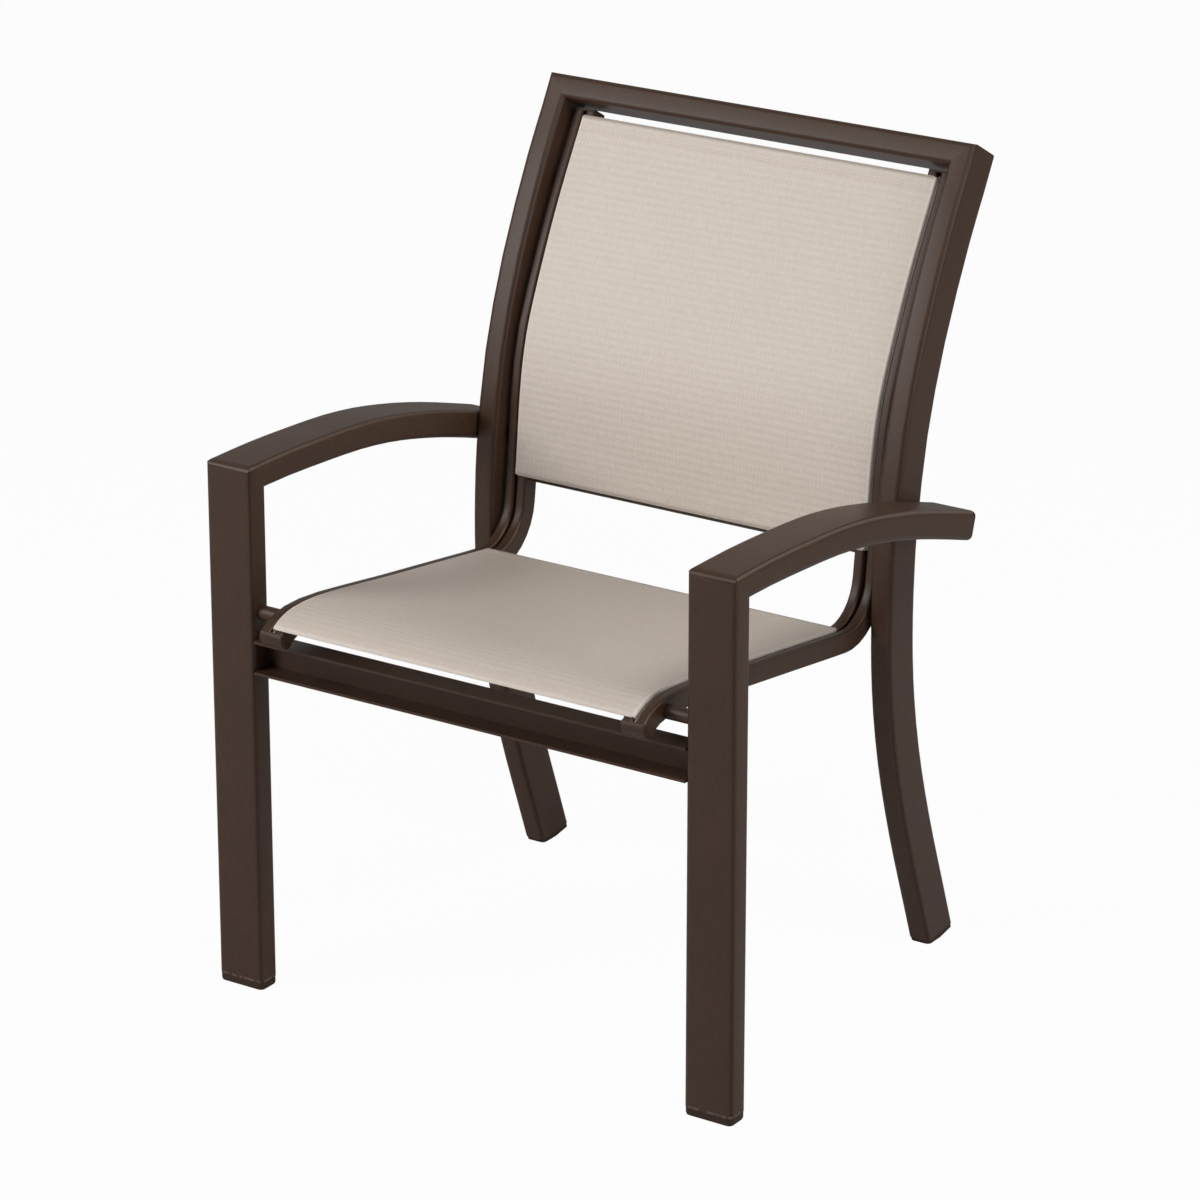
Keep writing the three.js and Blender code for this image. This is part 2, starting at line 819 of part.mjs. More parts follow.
addPair('front_leg', 'frame', frontLeg());
addPair('arm', 'frame', arm());
addPair('arm_end_cap', 'cap', armCap());
addPair('upright', 'frame', upright());
add('top_rail', 'frame', topRail());
add('front_stretcher', 'frame', frontStretcher());
addPair('sling_rail', 'frame', slingRail());
addPair('rail_nose', 'cap', railNose());
addPair('rail_top_cap', 'cap', railTopCap());
add('back_sling', 'sling', backSling());
add('seat_sling', 'sling', seatSling());
addPair('seat_spline', 'spline', splineRod(seatSlingFrontInset, seatEnd + seatSlingBackReach));
addPair('back_spline', 'spline', splineRod(backStart + backSlingLift, railLength - backSlingTopInset));
add('back_spreader_bar', 'frame', spreaderBar(stationAt(railLine, backStart + backBarLift)));
add('seat_spreader_bar', 'frame', spreaderBar(railStationAtSetback(seatBarSetback)));
addPair('front_stub', 'frame', frontStub());
addPair('front_bolt', 'steel', bolt(stubPlace, legInnerX + frontTubeWall + boltThread));
addPair('front_bolt_insert', 'steel', insert(stubPlace, legInnerX + frontTubeWall));
backBoltPlaces.forEach((place, i) => {
  const level = ['lower', 'upper'][i];
  addPair(`${level}_back_bolt`, 'steel', bolt(place, uprightInnerX + uprightWall + boltThread));
  addPair(`${level}_back_bolt_insert`, 'steel', insert(place, uprightInnerX + uprightWall));
  addPair(`${level}_back_spacer`, 'plastic', spacer(place));
});
addPair('front_glide', 'plastic', frontGlide());
addPair('rear_glide', 'plastic', rearGlide());

// The origin is on the floor, under the middle of the whole chair
const extent = new THREE.Box3().setFromObject(chair);
chair.position.y = -(extent.min.y + extent.max.y) / 2;

export default chair;
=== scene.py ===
# Sling patio chair: camera, light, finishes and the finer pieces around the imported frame.
# Metres, +Z up, +Y to the rear, +X to the right as the chair is seen from the front.

import json
import math

import bmesh
import bpy
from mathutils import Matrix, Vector


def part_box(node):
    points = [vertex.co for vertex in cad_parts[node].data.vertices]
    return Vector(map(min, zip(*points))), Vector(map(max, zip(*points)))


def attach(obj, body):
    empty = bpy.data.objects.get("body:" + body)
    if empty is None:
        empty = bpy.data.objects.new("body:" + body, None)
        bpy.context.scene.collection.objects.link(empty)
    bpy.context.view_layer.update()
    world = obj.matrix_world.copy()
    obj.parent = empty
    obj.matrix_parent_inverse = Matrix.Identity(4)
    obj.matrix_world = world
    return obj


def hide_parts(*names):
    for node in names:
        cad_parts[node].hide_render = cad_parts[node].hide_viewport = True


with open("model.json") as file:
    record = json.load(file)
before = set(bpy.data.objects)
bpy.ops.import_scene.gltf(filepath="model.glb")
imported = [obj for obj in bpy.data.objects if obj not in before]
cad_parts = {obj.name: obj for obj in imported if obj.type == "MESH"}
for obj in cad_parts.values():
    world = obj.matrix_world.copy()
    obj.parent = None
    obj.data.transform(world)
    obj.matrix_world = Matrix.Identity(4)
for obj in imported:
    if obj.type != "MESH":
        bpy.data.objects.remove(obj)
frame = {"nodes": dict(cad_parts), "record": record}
nodes = frame["nodes"]
scene = bpy.context.scene
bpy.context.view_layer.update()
near = 2e-5    # two places closer than this are one place
mm = 0.001
print("frame:", len(nodes), "nodes")


# Shader kit. A Wire is one output of a node, and arithmetic on it adds Math nodes.

class Wire:
    def __init__(self, owner, socket):
        self.owner = owner
        self.socket = socket

    def math(self, operation, *values):
        return self.owner.node("ShaderNodeMath", {"operation": operation}, dict(enumerate(values)))

    def __add__(self, other):
        return self.math("ADD", self, other)

    __radd__ = __add__

    def __mul__(self, other):
        return self.math("MULTIPLY", self, other)

    __rmul__ = __mul__

    def __sub__(self, other):
        return self.math("SUBTRACT", self, other)

    def __rsub__(self, other):
        return self.math("SUBTRACT", other, self)

    def __truediv__(self, other):
        return self.math("DIVIDE", self, other)

    def __rtruediv__(self, other):
        return self.math("DIVIDE", other, self)

    def __pow__(self, other):
        return self.math("POWER", self, other)

    def __lt__(self, other):
        return self.math("LESS_THAN", self, other)

    def sine(self):
        return self.math("SINE", self)

    def size(self):
        return self.math("ABSOLUTE", self)

    def largest(self, other):
        return self.math("MAXIMUM", self, other)

    def ramp(self, low, high, toLow=0.0, toHigh=1.0):
        return self.owner.node("ShaderNodeMapRange", {"interpolation_type": "SMOOTHSTEP"}, {
            "Value": self, "From Min": low, "From Max": high, "To Min": toLow, "To Max": toHigh})

    def swing(self, amount, middle=0.5):
        # a noise's distance from its middle, up and down
        return (self - middle) * amount


class NodeTree:
    def __init__(self, tree):
        self.tree = tree

    def node(self, kind, settings=None, sockets=None, output=0):
        made = self.tree.nodes.new(kind)
        for key, value in (settings or {}).items():
            setattr(made, key, value)
        for key, value in (sockets or {}).items():
            self.plug(made.inputs[key], value)
        return Wire(self, made.outputs[output])

    def plug(self, socket, value):
        if isinstance(value, Wire):
            self.tree.links.new(value.socket, socket)
        else:
            socket.default_value = value


class Finish(NodeTree):
    def __init__(self, name, **constants):
        self.material = bpy.data.materials.new(name)
        self.material.use_nodes = True
        super().__init__(self.material.node_tree)
        self.shader = self.tree.nodes["Principled BSDF"]
        for key, value in constants.items():
            self.shader.inputs[key.replace("_", " ")].default_value = value

    def feed(self, **wires):
        for key, value in wires.items():
            self.plug(self.shader.inputs[key.replace("_", " ")], value)

    def place(self):
        return self.node("ShaderNodeTexCoord", output="Object")

    def parts(self, vector, keys):
        split = self.node("ShaderNodeSeparateXYZ", {}, {0: vector}).socket.node
        return [Wire(self, split.outputs[key]) for key in keys]

    def noise(self, where, scale, detail, stretch=None):
        if stretch:
            where = self.node("ShaderNodeMapping", {}, {"Vector": where, "Scale": stretch})
        return self.node("ShaderNodeTexNoise", {}, {"Vector": where, "Scale": scale, "Detail": detail})

    def blend(self, share, first, second):
        # inputs 6 and 7 and output 2 are the Mix node's colours
        return self.node("ShaderNodeMix", {"data_type": "RGBA"}, {0: share, 6: first, 7: second}, output=2)

    def bump(self, height, depth, strength):
        return self.node("ShaderNodeBump", {}, {"Height": height, "Distance": depth, "Strength": strength})


def colour(red, green, blue):
    return (red, green, blue, 1.0)


# Frame coat: satin dark bronze powder coat, a fine orange peel with a slow drift of shade.
# Painted shade darkens the tubes' side corners and the foot of each curve on top, a painted
# highlight lightens their upper corners, and chips and a painted highlight mark the front legs'
# lower ends. A pair that ends in Ramp is where a mask starts and where it is full.

coat = {
    "base": colour(0.0478, 0.0244, 0.0143),
    "warm": colour(0.0588, 0.0302, 0.0172),
    # worn specks and chips, and a painted highlight round the front feet's lower ends
    "rubbedAndPaintedHighlight": colour(0.12, 0.084, 0.066),
    # painted shade for the side corners and the foot of each top curve, painted highlight for the upper
    # corners
    "paintedCornerShade": colour(0.026, 0.0122, 0.007),
    "paintedCornerHighlight": colour(0.125, 0.08, 0.056),
    "driftPerMetre": 22,
    "driftShare": 0.4,
    "mottlePerMetre": 420,
    "mottleStretch": (1, 1, 0.3),
    "mottleShare": 0.6,
    "toneRamp": (0.32, 0.68),
    "cornerRamp": (0.05, 0.25),
    "paintedCornerShadeShare": 0.8,
    "paintedCornerHighlightShare": 0.75,
    "upperRamp": (0.3, 0.55),
    "startRamp": (0.004, 0.03),
    "paintedCurveFootShadeShare": 0.5,
    "topRamp": (0.8, 0.9),
    # front feet's lower ends: chipped patches that also carry a painted highlight
    "footRimTop": 12.2 * mm,
    "footRimRear": -0.2,
    "footRimPerMetre": 230,
    "footRimStretch": (1, 1, 0.1),
    "chipAndPaintedHighlightRamp": (0.4, 0.5),
    "chipAndPaintedHighlightShare": 0.9,
    "speckPerMetre": 1600,
    "speckRamp": (0.62, 0.8),
    "speckShare": 0.15,
    "speckHeight": 0.4,
    "peelPerMetre": 900,
    "peelDepth": 0.06 * mm,
    "peelStrength": 0.6,
    "peelRoughness": 0.12,
    "roughness": 0.4,
    "roughnessDrift": 0.1,
    "specular": 0.24,
}


def frameCoat(name, values):
    finish = Finish(name, Specular_IOR_Level=values["specular"])
    where = finish.place()
    drift = finish.noise(where, values["driftPerMetre"], detail=4)
    peel = finish.noise(where, values["peelPerMetre"], detail=2)
    speck = finish.noise(where, values["speckPerMetre"], detail=1)
    mottle = finish.noise(where, values["mottlePerMetre"], detail=2, stretch=values["mottleStretch"])
    mixed = values["driftShare"] * drift + values["mottleShare"] * mottle
    tone = finish.blend(mixed.ramp(*values["toneRamp"]), values["base"], values["warm"])
    sideways, upward = finish.parts(finish.node("ShaderNodeNewGeometry", output="Normal"), "XZ")
    level = (1 - sideways * sideways).largest(0) ** 0.5
    bend = 1 - sideways.size().largest(level)    # 0 on the flats, most half way round a corner
    corner = bend.ramp(*values["cornerRamp"])
    upper = upward.ramp(*values["upperRamp"])
    start = bend.ramp(*values["startRamp"]) * upward.ramp(*values["topRamp"])    # painted shade line at the foot of the curve on top
    # painted shade on the side corners and along the foot of each top curve
    low = corner * (1 - upper) * values["paintedCornerShadeShare"]
    tone = finish.blend(low.largest(start * values["paintedCurveFootShadeShare"]), tone, values["paintedCornerShade"])
    # painted highlight along the upper corners
    tone = finish.blend(corner * upper * values["paintedCornerHighlightShare"], tone, values["paintedCornerHighlight"])
    y, z = finish.parts(where, "YZ")
    patches = finish.noise(where, values["footRimPerMetre"], detail=1, stretch=values["footRimStretch"])
    # lighter patches round the front legs' lower ends: chips, and a painted highlight along the feet's lower
    # edge
    rim = patches.ramp(*values["chipAndPaintedHighlightRamp"]) * (z < values["footRimTop"]) * (y < values["footRimRear"])
    speckedAndPaintedHighlight = (speck.ramp(*values["speckRamp"]) * values["speckShare"]).largest(rim * values["chipAndPaintedHighlightShare"])
    roughness = values["roughness"] + drift.swing(values["roughnessDrift"])
    roughness = roughness + peel.swing(values["peelRoughness"])
    height = peel + values["speckHeight"] * speck
    finish.feed(
        Base_Color=finish.blend(speckedAndPaintedHighlight, tone, values["rubbedAndPaintedHighlight"]),
        Roughness=roughness,
        Normal=finish.bump(height, values["peelDepth"], values["peelStrength"]),
    )
    return finish.material


# Moulded plastic for caps, glides, spacers and spline rods: a fine grain and dull scuffs

plastic = {
    "specular": 0.22,
    "scuffRamp": (0.5, 0.75, 0, 0.6),
    "scuffRoughness": 0.25,
    "grainStrength": 0.7,
}
capPlastic = {
    "base": colour(0.046, 0.0238, 0.0142),
    "mark": colour(0.06, 0.037, 0.026),
    "roughness": 0.5,
    "grainPerMetre": 700,
    "grainDepth": 0.05 * mm,
    "scuffPerMetre": 60,
}
glidePlastic = {
    "base": colour(0.036, 0.019, 0.0118),
    "mark": colour(0.055, 0.036, 0.026),
    "roughness": 0.6,
    "grainPerMetre": 600,
    "grainDepth": 0.08 * mm,
    "scuffPerMetre": 90,
}
splinePlastic = {
    "base": colour(0.62, 0.57, 0.5),
    "mark": colour(0.5, 0.45, 0.38),
    "roughness": 0.5,
    "grainPerMetre": 500,
    "grainDepth": 0.04 * mm,
    "scuffPerMetre": 50,
}


def moulded(name, values):
    finish = Finish(name, Specular_IOR_Level=plastic["specular"])
    where = finish.place()
    grain = finish.noise(where, values["grainPerMetre"], detail=3)
    scuff = finish.noise(where, values["scuffPerMetre"], detail=5)
    finish.feed(
        Base_Color=finish.blend(scuff.ramp(*plastic["scuffRamp"]), values["base"], values["mark"]),
        Roughness=values["roughness"] + scuff.swing(plastic["scuffRoughness"]),
        Normal=finish.bump(grain, values["grainDepth"], plastic["grainStrength"]),
    )
    return finish.material


# Stainless steel for bolts and inserts: faint turning lines and dull spots

steel = {
    "base": colour(0.56, 0.56, 0.57),
    "dull": colour(0.33, 0.31, 0.29),
    "roughness": 0.3,
    "linesPerMetre": 2400,
    "lineStretch": (1, 0.15, 0.15),
    "lineDepth": 0.02 * mm,
    "lineStrength": 0.5,
    "spotsPerMetre": 240,
    "spotRamp": (0.55, 0.8, 0, 0.8),
    "spotMiddle": 0.4,
    "spotRoughness": 0.3,
}


def turnedSteel(name, values):
    finish = Finish(name, Metallic=1.0)
    where = finish.place()
    lines = finish.noise(where, values["linesPerMetre"], detail=2, stretch=values["lineStretch"])
    spots = finish.noise(where, values["spotsPerMetre"], detail=5)
    finish.feed(
        Base_Color=finish.blend(spots.ramp(*values["spotRamp"]), values["base"], values["dull"]),
        Roughness=values["roughness"] + spots.swing(values["spotRoughness"], values["spotMiddle"]),
        Normal=finish.bump(lines, values["lineDepth"], values["lineStrength"]),
    )
    return finish.material


# Woven sling: coated yarns in a plain weave, with a slightly raised rib every few picks and
# faint bands along the warp. The attribute clothPlace holds each point's place on the flat
# cloth, across and along. A triple that ends in Each is a noise's grain across and along, per
# metre. A Ramp is from where to where, and for four numbers also from which value to which.

weave = {
    "yarn": colour(0.69, 0.602, 0.525),
    "shade": colour(0.572, 0.49, 0.417),
    "gap": colour(0.2, 0.165, 0.13),
    # painted highlight along the sheet's rolled side edges
    "edge": colour(0.8, 0.72, 0.645),
    "paintedEdgeHighlightRamp": (219 * mm, 221.5 * mm),
    "paintedEdgeHighlightShare": 0.8,
    "warpPitch": 1.5 * mm,
    "weftPitch": 1.66 * mm,
    "crossing": 0.35,
    "yarnDepth": 0.3 * mm,
    "yarnStrength": 0.55,
    "gapRamp": (0.12, 0.5, 1, 0),
    "gapShare": 0.7,
    "gapRoughness": 0.2,
    "picksPerRib": 5,
    "ribShade": 0.34,
    "ribDepth": 0.1 * mm,
    "ribWander": 1.6,
    "wanderEach": (14, 60, 1),
    "ribEach": (30, 150, 1),
    "ribRamp": (0.3, 0.6, 0.35, 1),
    "warpsPerBand": 3,
    "bandShade": 0.4,
    "bandEach": (150, 25, 1),
    "bandRamp": (0.4, 0.65),
    "dashEach": (110, 330, 1),
    "dashShade": 1.1,
    "dashRoughness": 0.16,
    "runEach": (300, 75, 1),
    "runShade": 1.3,
    "cloudsPerMetre": 14,
    "cloudShade": 0.25,
    "shadeMiddle": 0.5,
    "shadeRamp": (0.1, 0.9, 1, 0),
    "shadeShare": 0.45,
    "roughness": 0.5,
    "specular": 0.9,
}


def slingWeave(name, values):
    finish = Finish(name, Specular_IOR_Level=values["specular"])
    cloth = finish.node("ShaderNodeAttribute", {"attribute_name": "clothPlace"}, output="Vector")

    def grain(key, detail):
        return finish.noise(cloth, 1, detail, stretch=values[key])

    sideRun, run = finish.parts(cloth, "XY")
    across = sideRun / values["warpPitch"]
    along = run / values["weftPitch"]
    warp = (across * math.pi).sine()
    weft = (along * math.pi).sine()
    over = warp * weft    # above 0 where the warp yarn is on top
    warpHeight = warp.size() * (1 + values["crossing"] * over)
    weftHeight = weft.size() * (1 - values["crossing"] * over)
    yarns = warpHeight.largest(weftHeight)
    wander = grain("wanderEach", 1) * values["ribWander"]
    rib = ((along + wander) * (2 * math.pi / values["picksPerRib"])).sine()
    rib = rib * grain("ribEach", 1).ramp(*values["ribRamp"])
    band = (across * (2 * math.pi / values["warpsPerBand"])).sine()
    band = band * grain("bandEach", 1).ramp(*values["bandRamp"])
    dashes = grain("dashEach", 2)
    clouds = finish.noise(cloth, values["cloudsPerMetre"], detail=3)
    shade = values["shadeMiddle"] - values["ribShade"] * rib - values["bandShade"] * band
    shade = shade + dashes.swing(values["dashShade"]) + grain("runEach", 2).swing(values["runShade"])
    shade = shade + clouds.swing(values["cloudShade"])
    gaps = yarns.ramp(*values["gapRamp"]) * values["gapShare"]
    shaded = shade.ramp(*values["shadeRamp"]) * values["shadeShare"]
    tone = finish.blend(shaded, values["yarn"], values["shade"])
    # painted highlight on the rolled side edges
    edge = sideRun.size().ramp(*values["paintedEdgeHighlightRamp"]) * values["paintedEdgeHighlightShare"]
    height = yarns + (values["ribDepth"] / values["yarnDepth"]) * rib
    finish.feed(
        Base_Color=finish.blend(gaps, finish.blend(edge, tone, values["edge"]), values["gap"]),
        Roughness=values["roughness"] + dashes.swing(values["dashRoughness"]) + gaps * values["gapRoughness"],
        Normal=finish.bump(height, values["yarnDepth"], values["yarnStrength"]),
    )
    return finish.material


# Sewing thread of the hems

thread = {
    "light": colour(0.6, 0.525, 0.44),
    "dark": colour(0.48, 0.41, 0.34),
    "twistPerMetre": 2200,
    "twistStretch": (1, 3, 3),
    "twistRamp": (0.35, 0.65),
    "twistDepth": 0.08 * mm,
    "twistStrength": 0.8,
    "twistRoughness": 0.2,
    "roughness": 0.6,
    "specular": 0.3,
}


def hemThread(name, values):
    finish = Finish(name, Specular_IOR_Level=values["specular"])
    twist = finish.noise(finish.place(), values["twistPerMetre"], detail=2, stretch=values["twistStretch"])
    finish.feed(
        Base_Color=finish.blend(twist.ramp(*values["twistRamp"]), values["light"], values["dark"]),
        Roughness=values["roughness"] + twist.swing(values["twistRoughness"]),
        Normal=finish.bump(twist, values["twistDepth"], values["twistStrength"]),
    )
    return finish.material


finishes = {
    "frame_coat": frameCoat("frameCoat", coat),
    "cap_plastic": moulded("capPlastic", capPlastic),
    "glide_plastic": moulded("glidePlastic", glidePlastic),
    "spline_plastic": moulded("splinePlastic", splinePlastic),
    "bolt_steel": turnedSteel("boltSteel", steel),
    "sling_weave": slingWeave("slingWeave", weave),
    "thread": hemThread("hemThread", thread),
}
print("finishes:", len(finishes))


# Soft shading for tubes and caps: joins their faces, keeps creases and evens out the round corners

softValues = {"creaseDegrees": 38}


def softGroup():
    group = bpy.data.node_groups.new("softShading", "GeometryNodeTree")
    group.interface.new_socket("Geometry", in_out="INPUT", socket_type="NodeSocketGeometry")
    group.interface.new_socket("Geometry", in_out="OUTPUT", socket_type="NodeSocketGeometry")
    made = {kind: group.nodes.new(kind) for kind in (
        "NodeGroupInput", "NodeGroupOutput", "GeometryNodeMergeByDistance",
        "GeometryNodeInputMeshEdgeAngle", "FunctionNodeCompare")}
    faces = group.nodes.new("GeometryNodeSetShadeSmooth")
    edges = group.nodes.new("GeometryNodeSetShadeSmooth")
    faces.domain = "FACE"
    edges.domain = "EDGE"
    merge = made["GeometryNodeMergeByDistance"]
    merge.inputs["Distance"].default_value = near
    compare = made["FunctionNodeCompare"]
    compare.data_type = "FLOAT"
    compare.operation = "LESS_THAN"
    compare.inputs[1].default_value = math.radians(softValues["creaseDegrees"])
    link = group.links.new
    link(made["NodeGroupInput"].outputs[0], merge.inputs["Geometry"])
    link(merge.outputs[0], faces.inputs["Geometry"])
    link(faces.outputs[0], edges.inputs["Geometry"])
    link(made["GeometryNodeInputMeshEdgeAngle"].outputs["Unsigned Angle"], compare.inputs[0])
    link(compare.outputs[0], edges.inputs["Shade Smooth"])
    link(edges.outputs[0], made["NodeGroupOutput"].inputs[0])
    return group


softNodes = softGroup()


def soften(piece):
    shading = piece.modifiers.new("softShading", "NODES")
    shading.node_group = softNodes
    normals = piece.modifiers.new("evenNormals", "WEIGHTED_NORMAL")
    normals.keep_sharp = True
    return piece


slots = {row["node"]: row["material_slot"] for row in frame["record"]["subparts"]}
for name, piece in nodes.items():
    piece.material_slots[0].material = finishes[slots[name]]
    soften(piece)
print("frame dressed")


# Piece helpers

def addPiece(name, mesh, slot):
    piece = bpy.data.objects.new(name, mesh)
    scene.collection.objects.link(piece)
    mesh.materials.append(finishes[slot])
    mesh.polygons.foreach_set("use_smooth", [True] * len(mesh.polygons))
    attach(piece, "root")
    return piece


def meshFrom(name, points, faces):
    mesh = bpy.data.meshes.new(name)
    mesh.from_pydata([tuple(point) for point in points], [], faces)
    mesh.validate()
    mesh.update()
    return mesh


def weldedShell(name):
    shell = bmesh.new()
    shell.from_mesh(nodes[name].data)
    bmesh.ops.remove_doubles(shell, verts=shell.verts, dist=near)
    return shell


def spline(points, step):
    # close points on a smooth line through the given ones
    perStep = 4
    dense = []
    ends = [points[0] * 2 - points[1], *points, points[-1] * 2 - points[-2]]
    for a, b, c, d in zip(ends, ends[1:], ends[2:], ends[3:]):
        count = max(2, round((c - b).length / step * perStep))
        for i in range(count):
            t = i / count
            dense.append(0.5 * ((2 * b) + (c - a) * t + (2 * a - 5 * b + 4 * c - d) * t ** 2
                                + (3 * b - a - 3 * c + d) * t ** 3))
    dense.append(points[-1])
    return dense


def walk(points, step):
    # the same line in equal steps, with each point's run from the start
    runs = [0.0]
    for a, b in zip(points, points[1:]):
        runs.append(runs[-1] + (b - a).length)
    count = max(1, round(runs[-1] / step))
    places = []
    i = 1
    for k in range(count + 1):
        run = runs[-1] * k / count
        while i < len(points) - 1 and runs[i] < run:
            i += 1
        share = (run - runs[i - 1]) / (runs[i] - runs[i - 1])
        places.append((points[i - 1].lerp(points[i], share), run))
    return places


# Slings: each sheet is rebuilt fine along the line of its CAD sheet, with rolled side edges and hems

slingValues = {
    "thickness": 1.2 * mm,
    "alongStep": 4 * mm,
    "acrossCount": 72,
    "edgeRound": 2.1 * mm,
    "edgeSteps": 5,
    "tailDepth": 5.2 * mm,
    "tailSteps": 2,
    "endInset": 1.0 * mm,
    "hemWidth": 18 * mm,
    "hemThickness": 0.85 * mm,
    "hemGap": 0.02 * mm,
    "hemNoseSteps": 8,
    "hemSideInset": 3 * mm,
    "stitchLength": 3.0 * mm,
    "stitchPitch": 4.2 * mm,
    "stitchRings": [(-0.5, 0.25), (-0.44, 0.8), (-0.25, 1.0), (0.25, 1.0), (0.44, 0.8), (0.5, 0.25)],
    "stitchSides": 6,
    "stitchRise": 0.5,
    "stitchDive": 2.2,
    "threadRadius": 0.24 * mm,
    "stitchInset": 13 * mm,
    "stitchSideInset": 2 * mm,
    "seamGap": 2.6 * mm,
}


def faceLine(name, axis):
    # the line of a CAD sheet's upper face, front to rear or low to high, and the sheet's half width
    shell = weldedShell(name)
    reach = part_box(name)[1].x
    found = {}
    for face in shell.faces:
        places = [vert.co for vert in face.verts]
        onEdge = all(abs(abs(place.x) - reach) < near for place in places)
        if onEdge and min(p.x for p in places) < 0 < max(p.x for p in places):
            for place in places:
                if place.x > 0:
                    found[round(place[axis], 5)] = Vector((0, place.y, place.z))
    shell.free()
    return reach, [found[key] for key in sorted(found)]


def acrossLine(reach, values):
    # the sheet's section from tail to tail: across, depth and run from the middle
    r = values["edgeRound"]
    flat = reach - r
    count = values["acrossCount"] // 2
    line = [(flat * i / count, 0.0, flat * i / count) for i in range(count + 1)]
    for i in range(1, values["edgeSteps"] + 1):
        angle = math.pi / 2 * i / values["edgeSteps"]
        line.append((flat + r * math.sin(angle), r - r * math.cos(angle), flat + r * angle))
    tail = values["tailDepth"]
    for i in range(1, values["tailSteps"] + 1):
        depth = r + (tail - r) * i / values["tailSteps"]
        line.append((reach, depth, flat + r * math.pi / 2 + depth - r))
    mirror = [(-x, depth, -run) for x, depth, run in reversed(line[1:])]
    return mirror + line


def stations(line, values):
    placed = walk(spline(line, values["alongStep"]), values["alongStep"])
    result = []
    for i, (point, run) in enumerate(placed):
        before = placed[max(i - 1, 0)][0]
        after = placed[min(i + 1, len(placed) - 1)][0]
        direction = (after - before).normalized()
        result.append((point, Vector((0, -direction.z, direction.y)), direction, run))
    return result


def markCloth(mesh, places):
    layer = mesh.attributes.new("clothPlace", "FLOAT_VECTOR", "POINT")
    layer.data.foreach_set("vector", [value for place in places for value in place])


def slingSheet(name, path, reach, values):
    section = acrossLine(reach, values)
    points, places = [], []
    for point, normal, direction, run in path:
        for x, depth, side in section:
            points.append(Vector((x, point.y, point.z)) - normal * depth)
            places.append((side, run, 0.0))
    wide = len(section)
    faces = [(a, a + 1, a + 1 + wide, a + wide)
             for row in range(len(path) - 1) for a in range(row * wide, row * wide + wide - 1)]
    mesh = meshFrom(name, points, faces)
    markCloth(mesh, places)
    piece = addPiece(name, mesh, "sling_weave")
    thick = piece.modifiers.new("thickness", "SOLIDIFY")
    thick.thickness = values["thickness"]
    thick.offset = -1
    thick.use_even_offset = True
    return piece


def hem(name, path, reach, atStart, values):
    # a strip folded round the sheet's end: a half-round nose, then a layer under the sheet
    ordered = path if atStart else path[::-1]
    point, normal, direction, run = ordered[0]
    outward = -direction if atStart else direction
    under = values["thickness"] + values["hemGap"]
    depth = under + values["hemThickness"]
    radius = depth / 2
    outline = []
    for i in range(values["hemNoseSteps"] + 1):
        angle = math.pi * i / values["hemNoseSteps"]
        ahead = outward * (radius * math.sin(angle))
        down = normal * (radius - radius * math.cos(angle))
        outline.append((point + ahead - down, radius * angle))
    start = outline[-1][1]
    strip = [row for row in ordered[1:] if abs(row[3] - run) < values["hemWidth"]]
    outline += [(row[0] - row[1] * depth, start + abs(row[3] - run)) for row in strip]
    inner = [(row[0] - row[1] * under, start + abs(row[3] - run)) for row in reversed(strip)]
    outline += inner + [(point - normal * under, start)]
    half = reach - values["hemSideInset"]
    count = values["acrossCount"] // 2
    points, places = [], []
    for k in range(count + 1):
        x = half * (2 * k / count - 1)
        for place, side in outline:
            points.append(Vector((x, place.y, place.z)))
            places.append((x, run + side, 0.0))
    tall = len(outline)
    faces = []
    for k in range(count):
        for i in range(tall):
            a, b = k * tall + i, k * tall + (i + 1) % tall
            faces.append((a, b, b + tall, a + tall))
    faces += [tuple(range(tall)), tuple(reversed(range(count * tall, (count + 1) * tall)))]
    mesh = meshFrom(name, points, faces)
    shell = bmesh.new()
    shell.from_mesh(mesh)
    bmesh.ops.recalc_face_normals(shell, faces=shell.faces)
    shell.to_mesh(mesh)
    shell.free()
    mesh.update()
    markCloth(mesh, places)
    return soften(addPiece(name, mesh, "sling_weave"))


def stitchRow(points, faces, path, reach, run, values):
    # capsule stitches across the sheet at one run, lying half in the cloth
    point, normal, direction, at = min(path, key=lambda station: abs(station[3] - run))
    place = point + direction * (run - at)
    half = reach - values["edgeRound"] - values["stitchSideInset"]
    count = int(2 * half / values["stitchPitch"])
    radius = values["threadRadius"]
    sides = values["stitchSides"]
    rings = values["stitchRings"]    # share of the length, share of the radius
    for k in range(count):
        middle = (k + 0.5 - count / 2) * values["stitchPitch"]
        start = len(points)
        for share, swell in rings:
            lift = radius * (values["stitchRise"] - values["stitchDive"] * share ** 2)
            for i in range(sides):
                angle = 2 * math.pi * i / sides
                offset = direction * math.cos(angle) + normal * math.sin(angle)
                centre = Vector((middle + share * values["stitchLength"], place.y, place.z)) + normal * lift
                points.append(centre + offset * (radius * swell))
        for ring in range(len(rings) - 1):
            for i in range(sides):
                a = start + ring * sides + i
                b = start + ring * sides + (i + 1) % sides
                faces.append((a, b, b + sides, a + sides))
        last = start + (len(rings) - 1) * sides
        faces.append(tuple(reversed(range(start, start + sides))))
        faces.append(tuple(range(last, last + sides)))


def stitches(name, path, reach, values):
    points, faces = [], []
    total = path[-1][3]
    for inset in (values["stitchInset"], values["stitchInset"] + values["seamGap"]):
        for run in (inset, total - inset):
            stitchRow(points, faces, path, reach, run, values)
    return addPiece(name, meshFrom(name, points, faces), "thread")


